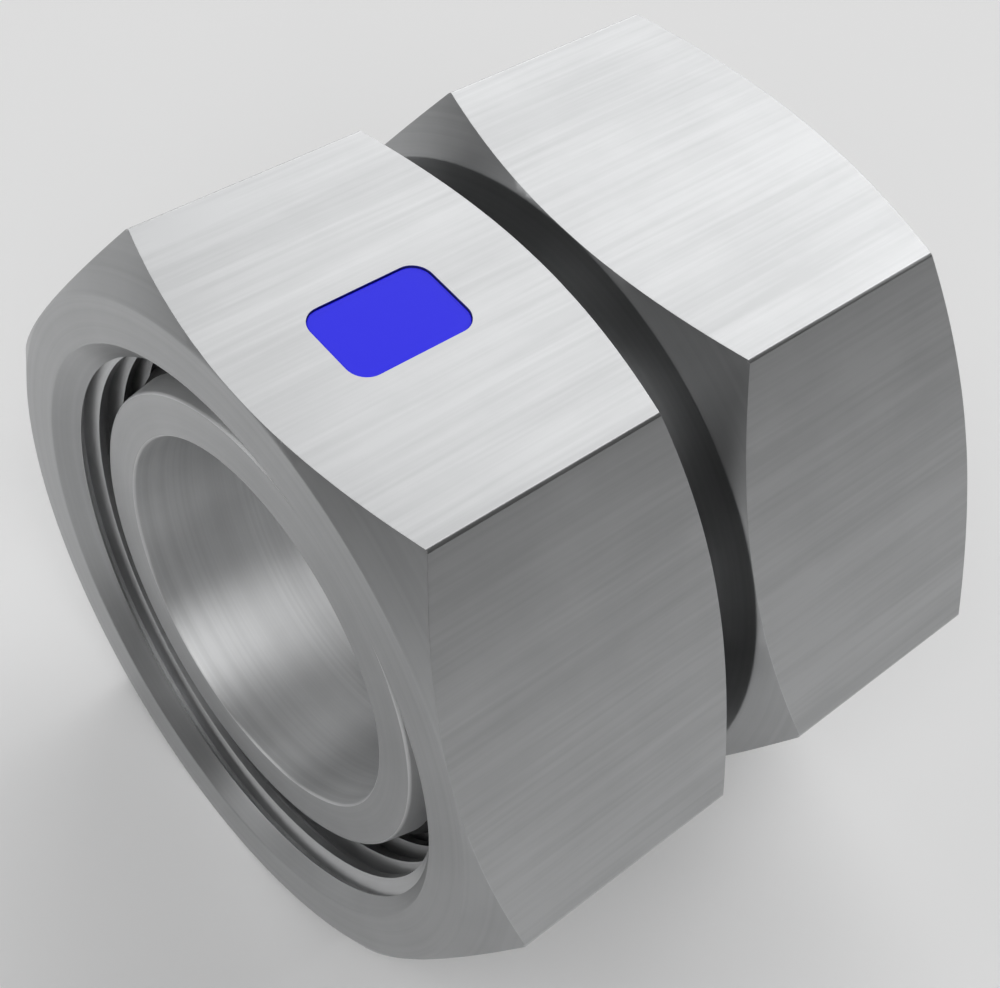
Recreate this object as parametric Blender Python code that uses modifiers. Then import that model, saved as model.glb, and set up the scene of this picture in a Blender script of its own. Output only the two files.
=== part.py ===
"""Straight swivel adapter for hydraulic tube, in metres, +Z up.

The fitting's axis is X, the front nut looks towards -X, and the origin is the middle of the fitting.
A nipple with a 24 degree O-ring nose at each end carries two equal hexagon swivel nuts. Each nut turns
on the nipple's journal and is held by a round wire that lies in a groove shared by the two.
"""

from math import acos, cos, pi, radians, sin, sqrt, tan

import bmesh
import bpy

# Nut mouth: a metric thread with a 45 degree countersink at one end and a relief at the other
thread_diameter = 0.042
thread_pitch = 0.002
core_depth_per_pitch = 1.0825
thread_length = 0.0102
countersink_margin = 0.00065
relief_width = 0.0026
relief_depth = 0.00025

# Nut, turned from hexagon bar. The journal bore runs from its back face to the thread relief.
nut_wall = 0.004
nut_gap = 0.0032
journal_bore_length = 0.0093
back_edge_chamfer = 0.0005
hex_chamfer_angle = radians(30)
end_circle_inset = 0.00005

# Nipple, which passes through the nut's thread
thread_to_journal = 0.0006
cone_length = 0.0095
cone_half_angle = radians(12)
nose_wall = 0.0032
nose_recess = 0.002
nose_edge_chamfer = 0.00015

# O-ring, which stands a little proud of the cone that it seals
o_ring_section = 0.0025
o_ring_setback = 0.0038
o_ring_proud = 0.0005

# Retaining wire
wire_diameter = 0.003
wire_from_nut_back = 0.0045
wire_open_angle = radians(12)

# Marking pocket in the top flat of the front nut
pocket_length = 0.0092
pocket_width = 0.0062
pocket_depth = 0.0004
pocket_corner_radius = 0.0014

# Clearances all round, and how far a cutter or a blank runs past what it cuts
journal_clearance = 0.0003
seat_clearance = 0.0003
feed_clearance = 0.00015
overrun = 0.002

# Facets. Sixty steps to a turn put a facet edge on every corner of the hexagon. Faces that meet at less
# than the sharp angle are shaded as one smooth surface.
turn_steps = 60
groove_steps = 6
ring_section_steps = 10
feed_hole_steps = 12
pocket_corner_steps = 4
wire_section_resolution = 2
merge_distance = 0.00001
sharp_angle = radians(10)

# Worked out from the sizes above. A place is a distance from the middle of the fitting, and a height
# is one from a nut's back face, both along the axis.
across_flats = thread_diameter + 2 * nut_wall
corner_radius = across_flats / sqrt(3)
nut_height = journal_bore_length + relief_width + thread_length
nut_back = nut_gap / 2
nose_face = nut_back + nut_height - nose_recess
thread_core_radius = (thread_diameter - core_depth_per_pitch * thread_pitch) / 2
journal_radius = thread_core_radius - thread_to_journal
nut_bore_radius = journal_radius + journal_clearance
nose_radius = journal_radius - cone_length * tan(cone_half_angle)
bore_radius = nose_radius - nose_wall
wire_ring_radius = (journal_radius + nut_bore_radius) / 2
wire_groove_radius = wire_diameter / 2 + seat_clearance
o_ring_place = nose_face - o_ring_setback


def cone_radius(place):
    """Radius of the nose's sealing cone at a place."""
    return nose_radius + (nose_face - place) * tan(cone_half_angle)


o_ring_radius = cone_radius(o_ring_place) + o_ring_proud - o_ring_section / 2


def principled(name, colour, roughness, metallic):
    """A material of one colour."""
    made = bpy.data.materials.new(name)
    made.use_nodes = True
    shader = made.node_tree.nodes["Principled BSDF"]
    shader.inputs["Base Color"].default_value = (*colour, 1)
    shader.inputs["Roughness"].default_value = roughness
    shader.inputs["Metallic"].default_value = metallic
    return made


def add_object(name, data, collection, parent=None):
    made = bpy.data.objects.new(name, data)
    collection.objects.link(made)
    made.parent = parent
    return made


def add_cutter(name, mesh, parent=None):
    made = add_object(name, mesh, cutters, parent)
    made.hide_render = True
    made.display_type = "WIRE"
    return made


def add_boolean(target, tool, operation):
    boolean = target.modifiers.new(tool.name, "BOOLEAN")
    boolean.operation = operation
    boolean.object = tool
    boolean.solver = "EXACT"


def turned(name, profile):
    """A ring about local Z from (radius, height) points, down its outer side and up its inner one."""
    mesh = bpy.data.meshes.new(name)
    mesh.from_pydata(
        [(radius, 0, height) for radius, height in profile],
        [(point, (point + 1) % len(profile)) for point in range(len(profile))],
        [],
    )
    made = add_object(name, mesh, parts)
    screw = made.modifiers.new("Turn", "SCREW")
    screw.steps = turn_steps
    screw.render_steps = turn_steps
    screw.use_merge_vertices = True
    screw.merge_threshold = merge_distance
    return made


def finished_mesh(source):
    """The mesh that an object's modifiers make, smooth over its round sides. The object is removed."""
    bpy.context.view_layer.update()
    graph = bpy.context.evaluated_depsgraph_get()
    mesh = bpy.data.meshes.new_from_object(source.evaluated_get(graph))
    mesh.shade_smooth()
    mesh.set_sharp_from_angle(angle=sharp_angle)
    bpy.data.objects.remove(source)
    return mesh


def wire_groove(wall_radius, centre, side):
    """Half-round groove in a wall, from its upper edge down: side is 1 away from the axis, -1 towards."""
    reach = acos(abs(wall_radius - wire_ring_radius) / wire_groove_radius)
    points = []
    for step in range(groove_steps + 1):
        angle = reach * (1 - 2 * step / groove_steps)
        radius = wire_ring_radius + side * wire_groove_radius * cos(angle)
        points.append((radius, centre + wire_groove_radius * sin(angle)))
    return points


def nipple_mesh():
    """Tubular body, the same at both ends: nose, O-ring groove, cone, journal and wire groove."""
    groove_half_width = o_ring_section / 2 + seat_clearance
    groove_floor = o_ring_radius - groove_half_width
    groove_outer = o_ring_place + groove_half_width
    groove_inner = o_ring_place - groove_half_width
    chamfered_edge = nose_face - nose_edge_chamfer
    one_end = [
        (bore_radius + nose_edge_chamfer, nose_face),
        (cone_radius(chamfered_edge) - nose_edge_chamfer, nose_face),
        (cone_radius(chamfered_edge), chamfered_edge),
        (cone_radius(groove_outer), groove_outer),
        (groove_floor, groove_outer),
        (groove_floor, groove_inner),
        (cone_radius(groove_inner), groove_inner),
        (journal_radius, nose_face - cone_length),
        *wire_groove(journal_radius, nut_back + wire_from_nut_back, side=-1),
    ]
    other_end = [(radius, -place) for radius, place in reversed(one_end)]
    bore = [(bore_radius, -chamfered_edge), (bore_radius, chamfered_edge)]
    return finished_mesh(turned("nipple_blank", one_end + other_end + bore))


def hexagon_bar():
    """Bar stock with its flats towards local -X and +X, longer than the nut."""
    bar = bmesh.new()
    bmesh.ops.create_cone(
        bar,
        cap_ends=True,
        segments=6,
        radius1=corner_radius,
        radius2=corner_radius,
        depth=nut_height + 2 * overrun,
    )
    bmesh.ops.translate(bar, verts=bar.verts, vec=(0, 0, nut_height / 2))
    mesh = bpy.data.meshes.new("hexagon_bar")
    bar.to_mesh(mesh)
    bar.free()
    return mesh


def feed_hole():
    """Hole that the wire is fed in by: it leaves the wire groove at a tangent, through a lower flat."""
    radius = wire_diameter / 2 + feed_clearance
    length = across_flats / 2 + overrun
    hole = bmesh.new()
    bmesh.ops.create_cone(
        hole, cap_ends=True, segments=feed_hole_steps, radius1=radius, radius2=radius, depth=length
    )
    bmesh.ops.translate(hole, verts=hole.verts, vec=(0, 0, length / 2))
    mesh = bpy.data.meshes.new("feed_hole")
    hole.to_mesh(mesh)
    hole.free()
    made = add_cutter("feed_hole", mesh)
    made.rotation_euler = (0, pi / 2, 0)
    made.location = (0, -wire_ring_radius, wire_from_nut_back)
    return made


def nut_mesh():
    """Hexagon nut, back face at height 0: mouth and thread at the top, journal bore at the bottom."""
    end_circle_radius = across_flats / 2 - end_circle_inset
    mouth_radius = thread_diameter / 2 + countersink_margin
    countersink_height = nut_height - (mouth_radius - thread_core_radius)
    blank_radius = corner_radius + overrun
    chamfer_height = (blank_radius - end_circle_radius) * tan(hex_chamfer_angle)
    relief_radius = thread_diameter / 2 + relief_depth
    relief_top = journal_bore_length + relief_width
    relief_shoulder = relief_top - (relief_radius - thread_core_radius)
    outside = [
        (end_circle_radius, nut_height),
        (blank_radius, nut_height - chamfer_height),
        (blank_radius, chamfer_height),
        (end_circle_radius, 0),
    ]
    inside = [
        (nut_bore_radius + back_edge_chamfer, 0),
        (nut_bore_radius, back_edge_chamfer),
        *reversed(wire_groove(nut_bore_radius, wire_from_nut_back, side=1)),
        (nut_bore_radius, journal_bore_length),
        (relief_radius, journal_bore_length),
        (relief_radius, relief_shoulder),
        (thread_core_radius, relief_top),
        (thread_core_radius, countersink_height),
        (mouth_radius, nut_height),
    ]
    blank = turned("nut_blank", outside + inside)
    add_boolean(blank, add_cutter("hexagon_bar", hexagon_bar()), "INTERSECT")
    add_boolean(blank, feed_hole(), "DIFFERENCE")
    return finished_mesh(blank)


def marking_pocket(parent):
    """Shallow pocket with round corners, cut in the middle of the nut's top flat."""
    pocket = bmesh.new()
    bmesh.ops.create_cube(pocket, size=1)
    bmesh.ops.scale(pocket, verts=pocket.verts, vec=(2 * pocket_depth, pocket_width, pocket_length))
    corners = [edge for edge in pocket.edges if abs((edge.verts[0].co - edge.verts[1].co).x) > pocket_depth]
    bmesh.ops.bevel(
        pocket,
        geom=corners,
        affect="EDGES",
        offset=pocket_corner_radius,
        segments=pocket_corner_steps,
        profile=0.5,
    )
    mesh = bpy.data.meshes.new("marking_pocket")
    pocket.to_mesh(mesh)
    pocket.free()
    made = add_cutter("marking_pocket", mesh, parent)
    made.location = (-across_flats / 2, 0, nut_height / 2)
    return made


def o_ring_mesh():
    bpy.ops.mesh.primitive_torus_add(
        major_segments=turn_steps,
        minor_segments=ring_section_steps,
        major_radius=o_ring_radius,
        minor_radius=o_ring_section / 2,
    )
    ring = bpy.context.active_object
    mesh = ring.data
    mesh.shade_smooth()
    bpy.data.objects.remove(ring)
    return mesh


def wire_curve():
    """Ring of round wire, open at the feed hole, where its tail ends."""
    curve = bpy.data.curves.new("retaining_wire", "CURVE")
    curve.dimensions = "3D"
    curve.bevel_depth = wire_diameter / 2
    curve.bevel_resolution = wire_section_resolution
    curve.use_fill_caps = True
    line = curve.splines.new("POLY")
    line.points.add(turn_steps - 1)
    for step, point in enumerate(line.points):
        angle = -pi / 2 - (2 * pi - wire_open_angle) * step / (turn_steps - 1)
        point.co = (wire_ring_radius * cos(angle), wire_ring_radius * sin(angle), 0, 1)
    return curve


for old in list(bpy.data.objects):
    bpy.data.objects.remove(old)

parts = bpy.data.collections.new("hydraulic_tube_adapter")
cutters = bpy.data.collections.new("cutters")
bpy.context.scene.collection.children.link(parts)
bpy.context.scene.collection.children.link(cutters)

plated_steel = principled("plated_steel", (0.62, 0.63, 0.64), 0.35, 1)
turned_steel = principled("turned_steel", (0.55, 0.56, 0.57), 0.25, 1)
spring_wire = principled("spring_wire", (0.42, 0.42, 0.43), 0.3, 1)
black_rubber = principled("black_rubber", (0.015, 0.015, 0.016), 0.55, 0)

# The nipple's own Z axis is the fitting's axis, towards +X
nipple = add_object("nipple", nipple_mesh(), parts)
nipple.rotation_euler = (0, pi / 2, 0)
nipple.data.materials.append(turned_steel)

nut = nut_mesh()
nut.materials.append(plated_steel)
o_ring = o_ring_mesh()
o_ring.materials.append(black_rubber)
wire = wire_curve()
wire.materials.append(spring_wire)

# Each end's frame has its Z axis outwards. It turns with its nut, about the nut's joint axis.
for end, way, turn in (("back", 1, 0), ("front", -1, pi)):
    swivel = add_object(f"swivel_{end}", None, parts, nipple)
    swivel.location = (0, 0, way * nut_back)
    swivel.rotation_euler = (turn, 0, 0)
    swivel_nut = add_object(f"swivel_nut_{end}", nut, parts, swivel)
    retaining_wire = add_object(f"retaining_wire_{end}", wire, parts, swivel)
    retaining_wire.location = (0, 0, wire_from_nut_back)
    seal = add_object(f"o_ring_{end}", o_ring, parts, nipple)
    seal.location = (0, 0, way * o_ring_place)
    if end == "front":
        add_boolean(swivel_nut, marking_pocket(swivel), "DIFFERENCE")
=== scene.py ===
from math import acos, cos, pi, radians, sin, sqrt, tan

import bmesh
import bpy
from mathutils import Matrix, Vector


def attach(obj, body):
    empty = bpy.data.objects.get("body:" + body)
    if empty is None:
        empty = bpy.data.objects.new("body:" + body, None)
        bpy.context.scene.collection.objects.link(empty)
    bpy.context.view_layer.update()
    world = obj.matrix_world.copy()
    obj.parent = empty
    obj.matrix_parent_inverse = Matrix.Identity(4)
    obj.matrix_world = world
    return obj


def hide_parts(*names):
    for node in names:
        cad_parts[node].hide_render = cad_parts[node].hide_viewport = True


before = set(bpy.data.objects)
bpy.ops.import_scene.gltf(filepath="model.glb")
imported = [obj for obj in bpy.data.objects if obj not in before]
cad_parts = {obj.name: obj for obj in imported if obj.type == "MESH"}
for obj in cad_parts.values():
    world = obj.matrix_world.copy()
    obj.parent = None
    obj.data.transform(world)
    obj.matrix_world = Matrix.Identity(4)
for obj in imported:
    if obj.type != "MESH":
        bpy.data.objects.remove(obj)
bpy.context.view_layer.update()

# Nipple: the tube that the oil flows through, turned in one piece from steel bar and plated. Each
# end is a 24 degree cone with a flat nose and a square groove for an O-ring. Behind each cone is
# the journal that a nut turns on, with a half-round groove for the nut's retaining wire.
NOSE_FACE = 0.0217
NOSE_RADIUS = 0.017298
BORE_RADIUS = 0.014098
NOSE_CHAMFER = 0.00015
NIPPLE_EDGE = 0.00008
CONE_LENGTH = 0.0095
CONE_SLOPE = tan(radians(12))
JOURNAL_RADIUS = 0.0193175
O_RING_PLACE = 0.0179
O_RING_RADIUS = 0.017356
O_RING_SECTION = 0.0025
SEAT_CLEARANCE = 0.0003
WIRE_PLACE = 0.0061
WIRE_RING_RADIUS = 0.0194675
WIRE_SECTION = 0.003
GROOVE_STEPS = 16
TURN_STEPS = 192
MERGE_DISTANCE = 0.000001
CORNER_ANGLE = radians(20)
SHARP_ANGLE = radians(35)
STEEL = (0.46, 0.465, 0.47)
# The steel of the turned end faces is darker than the other steels: painted shade on the ends.
FACED_STEEL_PAINTED_SHADE = (0.4, 0.405, 0.41)
# The fine turned steel is lighter than the other steels: painted light in the bore and on the
# cones.
FINE_TURNED_STEEL_PAINTED_LIGHT = (0.72, 0.725, 0.73)
ROUGHNESS_SPREAD = 0.018
TINT_SPREAD = 0.08


def cone_radius(place):
    return NOSE_RADIUS + (NOSE_FACE - place) * CONE_SLOPE


def wire_groove(wall_radius, side):
    """(place, radius) points of the half-round groove, on side -1 in the nipple and 1 in a nut."""
    groove_radius = WIRE_SECTION / 2 + SEAT_CLEARANCE
    reach = acos(abs(wall_radius - WIRE_RING_RADIUS) / groove_radius)
    angles = [reach * (1 - 2 * step / GROOVE_STEPS) for step in range(GROOVE_STEPS + 1)]
    return [
        (
            WIRE_PLACE + groove_radius * sin(angle),
            WIRE_RING_RADIUS + side * groove_radius * cos(angle),
        )
        for angle in angles
    ]


def spin_round(work):
    """Sweeps a section right round the X axis and closes it up."""
    bmesh.ops.spin(
        work,
        geom=work.verts[:] + work.edges[:],
        cent=(0, 0, 0),
        axis=(1, 0, 0),
        angle=2 * pi,
        steps=TURN_STEPS,
        use_merge=True,
    )
    bmesh.ops.remove_doubles(work, verts=work.verts, dist=MERGE_DISTANCE)
    bmesh.ops.recalc_face_normals(work, faces=work.faces)
    return work


def turned(profile):
    """A solid of revolution from (place, radius) points, in order round its section."""
    work = bmesh.new()
    corners = [work.verts.new((place, 0, radius)) for place, radius in profile]
    for here, after in zip(corners, corners[1:] + corners[:1]):
        work.edges.new((here, after))
    return spin_round(work)


def break_edges(work, edges, width, segments=2):
    """Rounds edges by the width that deburring leaves, and returns the new faces."""
    return bmesh.ops.bevel(
        work,
        geom=edges,
        offset=width,
        offset_type="OFFSET",
        affect="EDGES",
        segments=segments,
        profile=0.5,
        material=-1,
        clamp_overlap=True,
    )["faces"]


def outer_corners(work):
    """Edges where two surfaces meet at an outer corner."""
    return [
        edge
        for edge in work.edges
        if edge.is_manifold and edge.is_convex and edge.calc_face_angle() > CORNER_ANGLE
    ]


def make_piece(name, work, materials):
    """Turns a bmesh into a piece, smooth but for its sharp edges, its flat faces kept flat."""
    mesh = bpy.data.meshes.new(name)
    work.to_mesh(mesh)
    work.free()
    mesh.shade_smooth()
    mesh.set_sharp_from_angle(angle=SHARP_ANGLE)
    for material in materials:
        mesh.materials.append(material)
    piece = bpy.data.objects.new(name, mesh)
    bpy.context.scene.collection.objects.link(piece)
    normals = piece.modifiers.new("Flat faces stay flat", "WEIGHTED_NORMAL")
    normals.keep_sharp = True
    return piece


def new_finish(name, colour, roughness, metallic):
    """A material, its Principled shader, its tree, and a function that adds a linked node."""
    made = bpy.data.materials.new(name)
    made.use_nodes = True
    tree = made.node_tree
    shader = tree.nodes["Principled BSDF"]
    shader.inputs["Base Color"].default_value = (*colour, 1)
    shader.inputs["Roughness"].default_value = roughness
    shader.inputs["Metallic"].default_value = metallic

    def add(kind, values=(), links=(), **settings):
        node = tree.nodes.new(kind)
        for setting, value in settings.items():
            setattr(node, setting, value)
        for socket, value in dict(values).items():
            node.inputs[socket].default_value = value
        for socket, source in dict(links).items():
            tree.links.new(source, node.inputs[socket])
        return node

    return made, shader, tree, add


def steel_finish(
    name, marks, colour=STEEL, roughness=0.36, spread=0.5, mark_depth=0.0000006
):
    """Plated steel. Its tool marks are rings on turned faces and lines along drawn flats.

    The rings of a turned face spread a highlight across themselves, so they run with the tangent.
    """
    made, shader, tree, add = new_finish(name, colour, roughness, 1)
    place = add("ShaderNodeTexCoord").outputs["Object"]
    if marks == "turned":
        across = add("ShaderNodeVectorMath", {1: (0, 1, 1)}, {0: place}, operation="MULTIPLY")
        radius = add(
            "ShaderNodeVectorMath", {}, {0: across.outputs["Vector"]}, operation="LENGTH"
        )
        along = add("ShaderNodeSeparateXYZ", {}, {0: place})
        marked = add(
            "ShaderNodeCombineXYZ",
            {},
            {"X": along.outputs["X"], "Y": radius.outputs["Value"]},
        )
        around = add(
            "ShaderNodeVectorMath", {0: (1, 0, 0)}, {1: place}, operation="CROSS_PRODUCT"
        )
        rings = add(
            "ShaderNodeVectorTransform",
            {},
            {"Vector": around.outputs["Vector"]},
            vector_type="VECTOR",
            convert_from="OBJECT",
            convert_to="WORLD",
        )
        tree.links.new(rings.outputs["Vector"], shader.inputs["Tangent"])
        shader.inputs["Anisotropic"].default_value = spread
        shader.inputs["Anisotropic Rotation"].default_value = 0.25
    else:
        marked = add("ShaderNodeVectorMath", {1: (0.03, 1, 1)}, {0: place}, operation="MULTIPLY")
    tool_path = marked.outputs["Vector"]
    fine = add(
        "ShaderNodeTexNoise",
        {"Scale": 2600, "Detail": 2, "Roughness": 0.5},
        {"Vector": tool_path},
    )
    broad = add(
        "ShaderNodeTexNoise",
        {"Scale": 500, "Detail": 2, "Roughness": 0.5},
        {"Vector": tool_path},
    )
    cloud = add(
        "ShaderNodeTexNoise",
        {"Scale": 110, "Detail": 4, "Roughness": 0.55},
        {"Vector": place},
    )
    bump = add(
        "ShaderNodeBump",
        {"Strength": 1, "Distance": mark_depth},
        {"Height": fine.outputs["Fac"]},
    )
    tree.links.new(bump.outputs["Normal"], shader.inputs["Normal"])
    wear = add(
        "ShaderNodeMapRange",
        {
            "From Min": 0.3,
            "From Max": 0.7,
            "To Min": roughness - ROUGHNESS_SPREAD,
            "To Max": roughness + ROUGHNESS_SPREAD,
        },
        {"Value": cloud.outputs["Fac"]},
    )
    tree.links.new(wear.outputs["Result"], shader.inputs["Roughness"])
    lines = add(
        "ShaderNodeMix",
        {"Factor": 0.5},
        {"A": fine.outputs["Fac"], "B": broad.outputs["Fac"]},
        data_type="FLOAT",
    )
    shade = add(
        "ShaderNodeMix",
        {"Factor": 0.4},
        {"A": lines.outputs["Result"], "B": cloud.outputs["Fac"]},
        data_type="FLOAT",
    )
    contrast = add(
        "ShaderNodeMapRange",
        {"From Min": 0.4, "From Max": 0.6},
        {"Value": shade.outputs["Result"]},
    )
    tint = add("ShaderNodeMix", {}, {"Factor": contrast.outputs["Result"]}, data_type="RGBA")
    for socket, strength in (("A", 1 - TINT_SPREAD), ("B", 1 + TINT_SPREAD)):
        tint.inputs[socket].default_value = (*[channel * strength for channel in colour], 1)
    tree.links.new(tint.outputs["Result"], shader.inputs["Base Color"])
    return made


groove_half_width = O_RING_SECTION / 2 + SEAT_CLEARANCE
groove_floor = O_RING_RADIUS - groove_half_width
groove_outer = O_RING_PLACE + groove_half_width
groove_inner = O_RING_PLACE - groove_half_width
chamfered_edge = NOSE_FACE - NOSE_CHAMFER
one_end = [
    (chamfered_edge, BORE_RADIUS),
    (NOSE_FACE, BORE_RADIUS + NOSE_CHAMFER),
    (NOSE_FACE, cone_radius(chamfered_edge) - NOSE_CHAMFER),
    (chamfered_edge, cone_radius(chamfered_edge)),
    (groove_outer, cone_radius(groove_outer)),
    (groove_outer, groove_floor),
    (groove_inner, groove_floor),
    (groove_inner, cone_radius(groove_inner)),
    (NOSE_FACE - CONE_LENGTH, JOURNAL_RADIUS),
    *wire_groove(JOURNAL_RADIUS, -1),
]
work = turned(one_end + [(-place, radius) for place, radius in reversed(one_end)])
break_edges(work, outer_corners(work), NIPPLE_EDGE)
for face in work.faces:
    is_flat_end = abs(face.normal.x) >= 0.9
    face.material_index = 0 if is_flat_end else 1
nipple_finishes = [
    # Darker steel on the flat ends: painted shade.
    steel_finish("nipple_faced_ends_painted_shade", "turned", FACED_STEEL_PAINTED_SHADE, roughness=0.34),
    # Lighter steel on the bore, cones and journals: painted light in the bore.
    steel_finish("nipple_fine_turned_painted_light", "turned", FINE_TURNED_STEEL_PAINTED_LIGHT, roughness=0.5, spread=0.85),
]
nipple = make_piece("nipple_turned", work, nipple_finishes)
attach(nipple, "nipple")
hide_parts("nipple")

# O-rings: black nitrile rubber, moulded between two half tools, which leave a fine flash line round
# the inside and the outside. Each lies stretched in its groove and stands half a millimetre proud.
RUBBER = (0.015, 0.015, 0.016)
FLASH = 0.00003
SECTION_STEPS = 28
TINY = 0.00001


def rubber_finish():
    made, shader, tree, add = new_finish("nitrile_rubber", RUBBER, 0.5, 0)
    place = add("ShaderNodeTexCoord").outputs["Object"]
    grain = add("ShaderNodeTexNoise", {"Scale": 6000, "Detail": 3}, {"Vector": place})
    bloom = add("ShaderNodeTexNoise", {"Scale": 300, "Detail": 3}, {"Vector": place})
    bump = add(
        "ShaderNodeBump",
        {"Strength": 0.6, "Distance": 0.00001},
        {"Height": grain.outputs["Fac"]},
    )
    tree.links.new(bump.outputs["Normal"], shader.inputs["Normal"])
    wear = add(
        "ShaderNodeMapRange", {"To Min": 0.42, "To Max": 0.62}, {"Value": bloom.outputs["Fac"]}
    )
    tree.links.new(wear.outputs["Result"], shader.inputs["Roughness"])
    return made


def o_ring(place):
    """A torus about the X axis, from a round section, with the flash line pulled out of it."""
    work = bmesh.new()
    bmesh.ops.create_circle(work, segments=SECTION_STEPS, radius=O_RING_SECTION / 2)
    bmesh.ops.rotate(
        work, verts=work.verts, cent=(0, 0, 0), matrix=Matrix.Rotation(pi / 2, 3, "X")
    )
    for vert in work.verts:
        if abs(vert.co.x) < TINY:
            vert.co.z += FLASH if vert.co.z > 0 else -FLASH
    bmesh.ops.translate(work, verts=work.verts, vec=(place, 0, O_RING_RADIUS))
    return spin_round(work)


nitrile = rubber_finish()
for end, way in (("back", 1), ("front", -1)):
    ring = make_piece(f"o_ring_{end}_moulded", o_ring(way * O_RING_PLACE), [nitrile])
    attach(ring, "nipple")
    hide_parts(f"o_ring_{end}")

# Swivel nuts: drawn hexagon bar, 50 mm across flats, faced, bored and chamfered to 30 degrees on a
# lathe, tapped M42x2 in the mouth and plated. The turned faces carry tool rings, the flats carry
# the lines of the drawing die. The two nuts are the same part, turned end for end.
NUT_BACK = 0.0016
NUT_END = 0.0237
HALF_FLATS = 0.025
CORNER_RADIUS = 2 * HALF_FLATS / sqrt(3)
BLANK_RADIUS = CORNER_RADIUS + 0.0005
END_CIRCLE_RADIUS = 0.02495
NUT_BORE_RADIUS = 0.0196175
BACK_CHAMFER = 0.0005
JOURNAL_BORE_END = 0.0109
RELIEF_END = 0.0135
RELIEF_RADIUS = 0.02125
MOUTH_RADIUS = 0.02165
NUT_EDGE = 0.0001
HEXAGON_EDGE = 0.0002
CUT_TOLERANCE = 0.0000001
THREAD_PITCH = 0.002
THREAD_RADIUS = 0.021
THREAD_CORE_RADIUS = 0.0199175
TAP_TURNS = 9
TAP_START = NUT_END - 0.0146
TAP_ENDS = (0.012, NUT_END + 0.0006)
TAP_ROD_CLEARANCE = 0.0002
FEED_HOLE_RADIUS = 0.00165
POCKET_LENGTH = 0.0092
POCKET_WIDTH = 0.0062
POCKET_CORNER = 0.0014
POCKET_DEPTH = 0.0004
CLEAN_DISTANCE = 0.000002
EDGE_STEEL = (0.52, 0.525, 0.53)
# The thread's steel is lighter than the other steels: painted light in the nut's shaded mouth.
THREAD_STEEL_PAINTED_LIGHT = (0.58, 0.585, 0.59)
TURNED, DRAWN, EDGE, TAPPED = 0, 1, 2, 3


def nut_blank():
    """The turned outside and inside of the nut, on a round blank."""
    chamfer = (BLANK_RADIUS - END_CIRCLE_RADIUS) * tan(radians(30))
    return turned(
        [
            (NUT_END, MOUTH_RADIUS),
            (NUT_END, END_CIRCLE_RADIUS),
            (NUT_END - chamfer, BLANK_RADIUS),
            (NUT_BACK + chamfer, BLANK_RADIUS),
            (NUT_BACK, END_CIRCLE_RADIUS),
            (NUT_BACK, NUT_BORE_RADIUS + BACK_CHAMFER),
            (NUT_BACK + BACK_CHAMFER, NUT_BORE_RADIUS),
            *reversed(wire_groove(NUT_BORE_RADIUS, 1)),
            (JOURNAL_BORE_END, NUT_BORE_RADIUS),
            (JOURNAL_BORE_END, RELIEF_RADIUS),
            (RELIEF_END - RELIEF_RADIUS + THREAD_CORE_RADIUS, RELIEF_RADIUS),
            (RELIEF_END, THREAD_CORE_RADIUS),
            (NUT_END - MOUTH_RADIUS + THREAD_CORE_RADIUS, THREAD_CORE_RADIUS),
        ]
    )


def plane_off(work, point, outward, finish=0):
    """Cuts away all that lies beyond a plane, and closes the cut with a flat face."""
    cut = bmesh.ops.bisect_plane(
        work,
        geom=work.verts[:] + work.edges[:] + work.faces[:],
        plane_co=point,
        plane_no=outward,
        clear_outer=True,
        dist=CUT_TOLERANCE,
    )
    rim = [item for item in cut["geom_cut"] if isinstance(item, bmesh.types.BMEdge)]
    bmesh.ops.edgeloop_fill(work, edges=rim, mat_nr=finish)


def cut_flats(work):
    """Planes off the six flats and rounds the corners and the arcs that the end chamfers leave."""
    for face in work.faces:
        face.material_index = TURNED
    for side in range(6):
        outward = Vector((0, sin(side * pi / 3), cos(side * pi / 3)))
        plane_off(work, outward * HALF_FLATS, outward, DRAWN)
    bmesh.ops.recalc_face_normals(work, faces=work.faces)
    drawn_sides = {
        edge: sum(face.material_index == DRAWN for face in edge.link_faces) for edge in work.edges
    }
    corners = [edge for edge, count in drawn_sides.items() if count == 2]
    for face in break_edges(work, corners, HEXAGON_EDGE, segments=3):
        face.material_index = EDGE
    arcs = [
        edge
        for edge in work.edges
        if {face.material_index for face in edge.link_faces} in ({TURNED, DRAWN}, {TURNED, EDGE})
        and all(
            NUT_BACK + HEXAGON_EDGE < vert.co.x < NUT_END - HEXAGON_EDGE for vert in edge.verts
        )
    ]
    for face in break_edges(work, arcs, NUT_EDGE):
        face.material_index = EDGE


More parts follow.
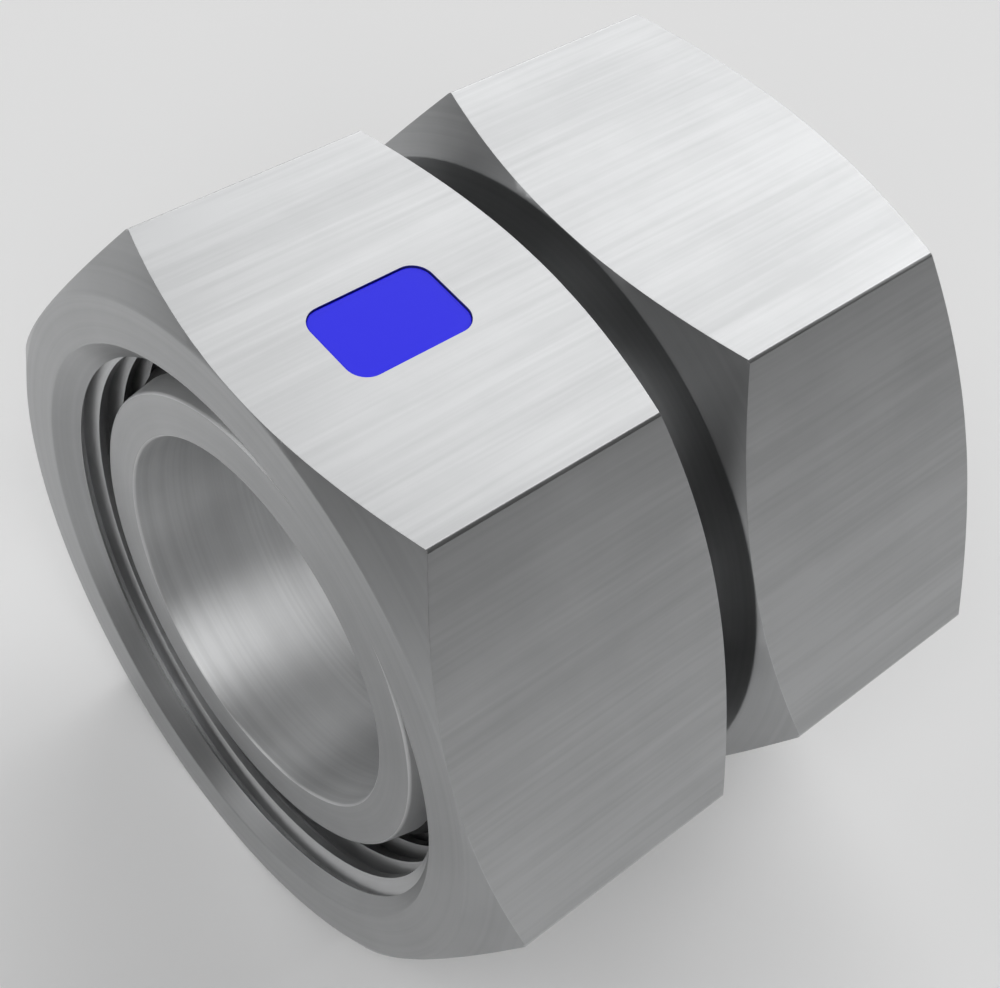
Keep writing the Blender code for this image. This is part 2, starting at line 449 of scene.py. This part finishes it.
def tap():
    """The solid that cuts the thread: a 60 degree ridge wound on a rod, its ends cut square."""
    rod_radius = THREAD_CORE_RADIUS - TAP_ROD_CLEARANCE
    crest_half_width = THREAD_PITCH / 16
    foot_half_width = crest_half_width + (THREAD_RADIUS - rod_radius) * tan(radians(30))
    steps = TURN_STEPS // 2
    work = bmesh.new()
    corners = [
        work.verts.new((place, 0, radius))
        for place, radius in (
            (-THREAD_PITCH / 2, rod_radius),
            (-foot_half_width, rod_radius),
            (-crest_half_width, THREAD_RADIUS),
            (crest_half_width, THREAD_RADIUS),
            (foot_half_width, rod_radius),
            (THREAD_PITCH / 2, rod_radius),
        )
    ]
    for here, after in zip(corners, corners[1:]):
        work.edges.new((here, after))
    bmesh.ops.spin(
        work,
        geom=work.verts[:] + work.edges[:],
        cent=(0, 0, 0),
        axis=(1, 0, 0),
        dvec=(THREAD_PITCH / steps, 0, 0),
        angle=2 * pi * TAP_TURNS,
        steps=steps * TAP_TURNS,
    )
    bmesh.ops.translate(work, verts=work.verts, vec=(TAP_START, 0, 0))
    bmesh.ops.remove_doubles(work, verts=work.verts, dist=MERGE_DISTANCE)
    for place, way in zip(TAP_ENDS, (-1, 1)):
        plane_off(work, (place, 0, 0), (way, 0, 0))
    bmesh.ops.recalc_face_normals(work, faces=work.faces)
    return work


def feed_drill():
    """The drill for the hole that the wire is fed in by, at a tangent to the wire's groove."""
    work = bmesh.new()
    length = HALF_FLATS + 0.002
    bmesh.ops.create_cone(
        work,
        cap_ends=True,
        segments=48,
        radius1=FEED_HOLE_RADIUS,
        radius2=FEED_HOLE_RADIUS,
        depth=length,
    )
    bmesh.ops.translate(
        work, verts=work.verts, vec=(WIRE_PLACE, -WIRE_RING_RADIUS, -length / 2)
    )
    return work


def pocket_block(low, high, gap=0):
    """A round-cornered block in the front nut's top flat, between two heights."""
    work = bmesh.new()
    bmesh.ops.create_cube(work, size=1)
    bmesh.ops.scale(
        work,
        verts=work.verts,
        vec=(POCKET_LENGTH - 2 * gap, POCKET_WIDTH - 2 * gap, high - low),
    )
    upright = [
        edge for edge in work.edges if abs((edge.verts[0].co - edge.verts[1].co).z) > TINY
    ]
    bmesh.ops.bevel(
        work,
        geom=upright,
        offset=POCKET_CORNER - 2 * gap,
        affect="EDGES",
        segments=10,
        profile=0.5,
        material=-1,
    )
    middle = -(NUT_BACK + NUT_END) / 2
    bmesh.ops.translate(work, verts=work.verts, vec=(middle, 0, (low + high) / 2))
    return work


def cut_away(work, cutters):
    """Cuts each cutter out of a bmesh, with Blender's exact Boolean."""
    target = bpy.data.objects.new("target", bpy.data.meshes.new("target"))
    bpy.context.scene.collection.objects.link(target)
    work.to_mesh(target.data)
    work.free()
    tools = []
    for cutter in cutters:
        tool = bpy.data.objects.new("cutter", bpy.data.meshes.new("cutter"))
        bpy.context.scene.collection.objects.link(tool)
        cutter.to_mesh(tool.data)
        cutter.free()
        cut = target.modifiers.new("Cut", "BOOLEAN")
        cut.operation = "DIFFERENCE"
        cut.solver = "EXACT"
        cut.object = tool
        tools.append(tool)
    bpy.context.view_layer.update()
    graph = bpy.context.evaluated_depsgraph_get()
    finished = bmesh.new()
    mesh = bpy.data.meshes.new_from_object(target.evaluated_get(graph))
    finished.from_mesh(mesh)
    bpy.data.meshes.remove(mesh)
    for used in [target, *tools]:
        bpy.data.objects.remove(used)
    bmesh.ops.remove_doubles(finished, verts=finished.verts, dist=CLEAN_DISTANCE)
    bmesh.ops.dissolve_degenerate(finished, edges=finished.edges, dist=CLEAN_DISTANCE)
    return finished


def mark_thread(work):
    """Gives the thread its own finish, a lighter steel that is painted light in the nut's mouth,
    but not the 45 degree countersink that it starts in.
    """
    outer_radius = THREAD_RADIUS + 0.00005
    for face in work.faces:
        middle = face.calc_center_median()
        radius = Vector((0, middle.y, middle.z)).length
        in_mouth = RELIEF_END < abs(middle.x) < NUT_END - NUT_EDGE and radius < outer_radius
        on_countersink = 0.6 < abs(face.normal.x) < 0.8
        if in_mouth and not on_countersink:
            face.material_index = TAPPED


work = nut_blank()
break_edges(work, outer_corners(work), NUT_EDGE)
cut_flats(work)
back_nut = cut_away(work, [tap(), feed_drill()])
mark_thread(back_nut)
front_nut = back_nut.copy()
bmesh.ops.rotate(
    front_nut, verts=front_nut.verts, cent=(0, 0, 0), matrix=Matrix.Rotation(pi, 3, "Z")
)
pocket = pocket_block(HALF_FLATS - POCKET_DEPTH, HALF_FLATS + POCKET_DEPTH)
front_nut = cut_away(front_nut, [pocket])

nut_finishes = [
    # Darker steel on the turned faces: painted shade on the nut's ends and chamfers.
    steel_finish("nut_turned_faces_painted_shade", "turned", FACED_STEEL_PAINTED_SHADE),
    steel_finish("nut_drawn_flats", "drawn"),
    steel_finish("nut_edges", "drawn", EDGE_STEEL, roughness=0.3, mark_depth=0.0000002),
    # Lighter steel on the thread: painted light in the nut's mouth.
    steel_finish("nut_threads_painted_light", "turned", THREAD_STEEL_PAINTED_LIGHT, roughness=0.3),
]
for end, work in (("back", back_nut), ("front", front_nut)):
    nut = make_piece(f"swivel_nut_{end}_tapped", work, nut_finishes)
    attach(nut, f"{end}_nut")
    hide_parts(f"swivel_nut_{end}")

# Retaining wires: round spring steel, fed in through the hole in a lower flat as the nut is turned,
# so that it lies half in the nipple and half in the nut: the nut swivels but can't come off.
WIRE = (0.42, 0.42, 0.43)
WIRE_ARC = radians(348)

wire_steel = steel_finish("spring_wire_steel", "turned", WIRE, roughness=0.3)
for end, turn in (("back", 0), ("front", pi)):
    work = bmesh.new()
    bmesh.ops.create_circle(work, segments=SECTION_STEPS, radius=WIRE_SECTION / 2)
    bmesh.ops.translate(work, verts=work.verts, vec=(WIRE_PLACE, -WIRE_RING_RADIUS, 0))
    bmesh.ops.spin(
        work,
        geom=work.verts[:] + work.edges[:],
        cent=(0, 0, 0),
        axis=(-1, 0, 0),
        angle=WIRE_ARC,
        steps=TURN_STEPS,
    )
    bmesh.ops.holes_fill(work, edges=[edge for edge in work.edges if edge.is_boundary])
    bmesh.ops.recalc_face_normals(work, faces=work.faces)
    bmesh.ops.rotate(
        work, verts=work.verts, cent=(0, 0, 0), matrix=Matrix.Rotation(turn, 3, "Z")
    )
    wire = make_piece(f"retaining_wire_{end}_drawn", work, [wire_steel])
    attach(wire, f"{end}_nut")
    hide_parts(f"retaining_wire_{end}")

# Enamel: a plain blue stove enamel that fills the shallow pocket in the front nut's top flat. It
# lies a little below the steel, so that a spanner doesn't touch it, and is rounded at its rim.
ENAMEL = (0.014, 0.012, 0.98)
ENAMEL_GAP = 0.00002
ENAMEL_SUNK = 0.00012
ENAMEL_RIM = 0.00012


def enamel_finish():
    made, shader, tree, add = new_finish("blue_enamel", ENAMEL, 0.22, 0)
    shader.inputs["Specular IOR Level"].default_value = 0.2
    place = add("ShaderNodeTexCoord").outputs["Object"]
    peel = add("ShaderNodeTexNoise", {"Scale": 900, "Detail": 2}, {"Vector": place})
    bump = add(
        "ShaderNodeBump",
        {"Strength": 0.5, "Distance": 0.00001},
        {"Height": peel.outputs["Fac"]},
    )
    tree.links.new(bump.outputs["Normal"], shader.inputs["Normal"])
    return made


enamel_top = HALF_FLATS - ENAMEL_SUNK
work = pocket_block(HALF_FLATS - POCKET_DEPTH + TINY, enamel_top, ENAMEL_GAP)
rim = [edge for edge in work.edges if all(vert.co.z > enamel_top - TINY for vert in edge.verts)]
break_edges(work, rim, ENAMEL_RIM, segments=4)
enamel = make_piece("enamel_field", work, [enamel_finish()])
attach(enamel, "front_nut")

# Photographer's table: a plain pale board, 1.2 m square, that the adapter lies on with one flat
# down. Large soft boxes stand 3 m off: a low strip behind it, one on the right and one on the left,
# one above the back and one above the camera.
HALF_TABLE = 0.6
TABLE_GAP = 0.00002
TABLE_WHITE = (0.92, 0.92, 0.92)
ROOM_LIGHT = 0.07
LAMP_DISTANCE = 3

bpy.context.scene.view_settings.view_transform = "Standard"

work = bmesh.new()
bmesh.ops.create_grid(work, x_segments=1, y_segments=1, size=HALF_TABLE)
bmesh.ops.translate(work, verts=work.verts, vec=(0, 0, -HALF_FLATS - TABLE_GAP))
table_finish, shader, _, _ = new_finish("pale_floor", TABLE_WHITE, 0.9, 0)
shader.inputs["Specular IOR Level"].default_value = 0.1
table = make_piece("floor", work, [table_finish])

world = bpy.data.worlds.new("soft_room")
bpy.context.scene.world = world
world.use_nodes = True
backdrop = world.node_tree.nodes["Background"]
backdrop.inputs["Color"].default_value = (1, 1, 1, 1)
backdrop.inputs["Strength"].default_value = ROOM_LIGHT

for name, azimuth, elevation, width, height, brightness in (
    ("strip_behind", 45, 9, 3.5, 1, 2.05),
    ("box_right", 0, 18, 2.5, 1.9, 1.95),
    ("box_above_back", 36, 43, 2.6, 2.1, 1.75),
    ("box_left", 135, 28, 2, 1.5, 1.4),
    ("box_above_camera", -135, 55, 2.75, 2.25, 2.3),
):
    lamp = bpy.data.lights.new(name, "AREA")
    lamp.shape = "RECTANGLE"
    lamp.size = width
    lamp.size_y = height
    lamp.energy = brightness * pi * width * height
    box = bpy.data.objects.new(name, lamp)
    away = Vector(
        (
            cos(radians(azimuth)) * cos(radians(elevation)),
            sin(radians(azimuth)) * cos(radians(elevation)),
            sin(radians(elevation)),
        )
    )
    box.location = away * LAMP_DISTANCE
    box.rotation_mode = "QUATERNION"
    box.rotation_quaternion = away.to_track_quat("Z", "Y")
    box.visible_camera = False
    bpy.context.scene.collection.objects.link(box)

# Camera: stands where the photo's did, above the front nut's near corner, 0.13 m off.
# Its place and lens were solved from the hexagons' corners and the round mouth in the photo.
CAMERA_PLACE = (-0.0615674, -0.0503659, 0.0976054)
CAMERA_RIGHT = Vector((0.7520404, -0.64155129, 0.15115281))
CAMERA_UP = Vector((0.43926377, 0.65881052, 0.61075039))
CAMERA_BACK = Vector((-0.49140876, -0.39291301, 0.77726237))

lens = bpy.data.cameras.new("camera")
lens.sensor_fit = "HORIZONTAL"
lens.sensor_width = 36
lens.lens = 60.96
lens.clip_start = 0.01
lens.clip_end = 20
camera = bpy.data.objects.new("camera", lens)
facing = Matrix((CAMERA_RIGHT, CAMERA_UP, CAMERA_BACK)).transposed().to_4x4()
camera.matrix_world = Matrix.Translation(CAMERA_PLACE) @ facing
bpy.context.scene.collection.objects.link(camera)
bpy.context.scene.camera = camera
